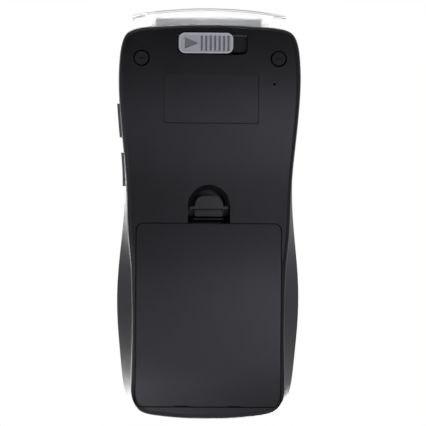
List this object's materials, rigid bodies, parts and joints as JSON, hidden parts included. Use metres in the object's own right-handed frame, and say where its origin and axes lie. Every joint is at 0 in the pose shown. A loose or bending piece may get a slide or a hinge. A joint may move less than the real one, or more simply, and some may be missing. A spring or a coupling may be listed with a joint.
{
  "type": "label maker",
  "caption": "Handheld label maker lying on its back: waisted dark casing, keypad and display, lidded label roll and printer, flared outlet hood, battery bay with a latched door.",
  "frame": {"origin": "middle of the box's lower face, on the surface that the back rests on", "axes": "+X to the user's right, +Y from the heel to the label outlet, +Z out of the keypad side"},
  "size_m": [0.0844, 0.1886, 0.0449],
  "materials": {
    "casing": "fine spark-textured dark grey plastic",
    "door": "fine spark-textured dark grey plastic",
    "milky_hood": "milky white plastic, soft gloss",
    "slider": "mid grey plastic",
    "foot_rubber": "black rubber",
    "mat_rubber": "grey silicone",
    "side_key": "dark grey plastic",
    "key_cap": "light grey plastic",
    "clear_pane": "clear plastic",
    "bezel": "black gloss plastic",
    "lcd_glass": "grey-green display glass",
    "steel": "plated steel",
    "dark_steel": "black plated steel",
    "aluminium": "milled aluminium",
    "brass": "turned brass",
    "gear_white": "natural acetal",
    "inner_plastic": "moulded black plastic",
    "switch_black": "black switch body",
    "board_green": "green solder mask",
    "cell_wrap": "printed cell sleeve",
    "cable_white": "flat cable",
    "label_paper": "white label stock",
    "core_card": "card tube"
  },
  "bodies": {
    "casing": {"rear_shell": "casing", "front_shell": "casing", "cover_hinge_pins": "steel", "label_outlet_hood": "milky_hood", "tear_bar": "steel", "foot_pads": "foot_rubber", "case_screws": "dark_steel", "reset_switch": "switch_black", "side_switches": "switch_black", "side_switch_board": "board_green", "keypad_mat": "mat_rubber", "main_board": "board_green", "board_screws": "steel", "display_bezel": "bezel", "display_window": "clear_pane", "lcd_gasket": "foot_rubber", "lcd_module": "lcd_glass", "battery_tray": "inner_plastic", "battery_cells": "cell_wrap", "battery_contacts": "steel", "battery_springs": "steel", "drive_motor": "steel", "print_chassis": "inner_plastic", "head_springs": "steel", "head_cable": "cable_white", "roll_holders": "gear_white", "label_web": "label_paper"},
    "media_cover": {"media_cover": "casing", "cover_pane": "clear_pane"},
    "battery_door": {"battery_door": "door"},
    "door_latch": {"battery_door_latch": "door"},
    "cover_lock": {"lock_slider": "slider", "lock_bar": "inner_plastic"},
    "idler": {"idler_gear": "gear_white"},
    "platen": {"platen_roller": "foot_rubber", "platen_shaft": "steel", "platen_gear": "gear_white"},
    "motor_rotor": {"motor_pinion": "brass"},
    "print_head": {"print_head": "aluminium"},
    "roll": {"label_roll": "label_paper", "roll_core": "core_card"},
    "side_key_upper": {"side_key_upper": "side_key"},
    "side_key_lower": {"side_key_lower": "side_key"},
    "front_key_01": {"front_key_01": "key_cap"},
    "front_key_02": {"front_key_02": "key_cap"},
    "front_key_03": {"front_key_03": "key_cap"},
    "front_key_04": {"front_key_04": "key_cap"},
    "front_key_05": {"front_key_05": "key_cap"},
    "front_key_06": {"front_key_06": "key_cap"},
    "front_key_07": {"front_key_07": "key_cap"},
    "front_key_08": {"front_key_08": "key_cap"},
    "front_key_09": {"front_key_09": "key_cap"},
    "front_key_10": {"front_key_10": "key_cap"},
    "front_key_11": {"front_key_11": "key_cap"},
    "front_key_12": {"front_key_12": "key_cap"},
    "front_key_13": {"front_key_13": "key_cap"},
    "front_key_14": {"front_key_14": "key_cap"},
    "front_key_15": {"front_key_15": "key_cap"}
  },
  "joints": [
    {"name": "media_cover_hinge", "type": "hinge", "parent": "casing", "child": "media_cover", "pos_m": [0, 0.0334, 0.0412], "axis": [1, 0, 0], "range_deg": [0, 80]},
    {"name": "battery_door_hinge", "type": "hinge", "parent": "casing", "child": "battery_door", "pos_m": [0, -0.0881, 0.00275], "axis": [-1, 0, 0], "range_deg": [0, 70]},
    {"name": "door_latch_flex", "type": "hinge", "parent": "battery_door", "child": "door_latch", "pos_m": [0, -0.0026, 0.0104], "axis": [-1, 0, 0], "range_deg": [0, 8], "stiffness_Nm_per_rad": 0.05},
    {"name": "cover_lock_slide", "type": "slide", "parent": "casing", "child": "cover_lock", "axis": [-1, 0, 0], "range_m": [0, 0.0062]},
    {"name": "idler_spin", "type": "hinge", "parent": "casing", "child": "idler", "pos_m": [-0.02935, 0.07042, 0.0175], "axis": [1, 0, 0], "continuous": true},
    {"name": "platen_spin", "type": "hinge", "parent": "media_cover", "child": "platen", "pos_m": [0, 0.074, 0.03], "axis": [1, 0, 0], "continuous": true},
    {"name": "motor_spin", "type": "hinge", "parent": "casing", "child": "motor_rotor", "pos_m": [-0.033, 0.06008, 0.01374], "axis": [1, 0, 0], "continuous": true},
    {"name": "roll_spin", "type": "hinge", "parent": "casing", "child": "roll", "pos_m": [0, 0.0525, 0.0225], "axis": [1, 0, 0], "continuous": true},
    {"name": "print_head_press", "type": "slide", "parent": "casing", "child": "print_head", "axis": [0, 0, -1], "range_m": [0, 0.0005], "stiffness_N_per_m": 1500, "deforming": ["head_springs"]},
    {"name": "side_key_upper_press", "type": "slide", "parent": "casing", "child": "side_key_upper", "axis": [-1, 0, 0], "range_m": [0, 0.0008], "stiffness_N_per_m": 900},
    {"name": "side_key_lower_press", "type": "slide", "parent": "casing", "child": "side_key_lower", "axis": [-1, 0, 0], "range_m": [0, 0.0008], "stiffness_N_per_m": 900},
    {"name": "front_key_01_press", "type": "slide", "parent": "casing", "child": "front_key_01", "axis": [0, 0, -1], "range_m": [0, 0.0011], "stiffness_N_per_m": 700},
    {"name": "front_key_02_press", "type": "slide", "parent": "casing", "child": "front_key_02", "axis": [0, 0, -1], "range_m": [0, 0.0011], "stiffness_N_per_m": 700},
    {"name": "front_key_03_press", "type": "slide", "parent": "casing", "child": "front_key_03", "axis": [0, 0, -1], "range_m": [0, 0.0011], "stiffness_N_per_m": 700},
    {"name": "front_key_04_press", "type": "slide", "parent": "casing", "child": "front_key_04", "axis": [0, 0, -1], "range_m": [0, 0.0011], "stiffness_N_per_m": 700},
    {"name": "front_key_05_press", "type": "slide", "parent": "casing", "child": "front_key_05", "axis": [0, 0, -1], "range_m": [0, 0.0011], "stiffness_N_per_m": 700},
    {"name": "front_key_06_press", "type": "slide", "parent": "casing", "child": "front_key_06", "axis": [0, 0, -1], "range_m": [0, 0.0011], "stiffness_N_per_m": 700},
    {"name": "front_key_07_press", "type": "slide", "parent": "casing", "child": "front_key_07", "axis": [0, 0, -1], "range_m": [0, 0.0011], "stiffness_N_per_m": 700},
    {"name": "front_key_08_press", "type": "slide", "parent": "casing", "child": "front_key_08", "axis": [0, 0, -1], "range_m": [0, 0.0011], "stiffness_N_per_m": 700},
    {"name": "front_key_09_press", "type": "slide", "parent": "casing", "child": "front_key_09", "axis": [0, 0, -1], "range_m": [0, 0.0011], "stiffness_N_per_m": 700},
    {"name": "front_key_10_press", "type": "slide", "parent": "casing", "child": "front_key_10", "axis": [0, 0, -1], "range_m": [0, 0.0011], "stiffness_N_per_m": 700},
    {"name": "front_key_11_press", "type": "slide", "parent": "casing", "child": "front_key_11", "axis": [0, 0, -1], "range_m": [0, 0.0011], "stiffness_N_per_m": 700},
    {"name": "front_key_12_press", "type": "slide", "parent": "casing", "child": "front_key_12", "axis": [0, 0, -1], "range_m": [0, 0.0011], "stiffness_N_per_m": 700},
    {"name": "front_key_13_press", "type": "slide", "parent": "casing", "child": "front_key_13", "axis": [0, 0, -1], "range_m": [0, 0.0011], "stiffness_N_per_m": 700},
    {"name": "front_key_14_press", "type": "slide", "parent": "casing", "child": "front_key_14", "axis": [0, 0, -1], "range_m": [0, 0.0011], "stiffness_N_per_m": 700},
    {"name": "front_key_15_press", "type": "slide", "parent": "casing", "child": "front_key_15", "axis": [0, 0, -1], "range_m": [0, 0.0011], "stiffness_N_per_m": 700}
  ],
  "couplings": [
    {"joint": "platen_spin", "follows": "roll_spin", "ratio": -4},
    {"joint": "idler_spin", "follows": "roll_spin", "ratio": 2.5},
    {"joint": "motor_spin", "follows": "roll_spin", "ratio": -6.6667}
  ]
}
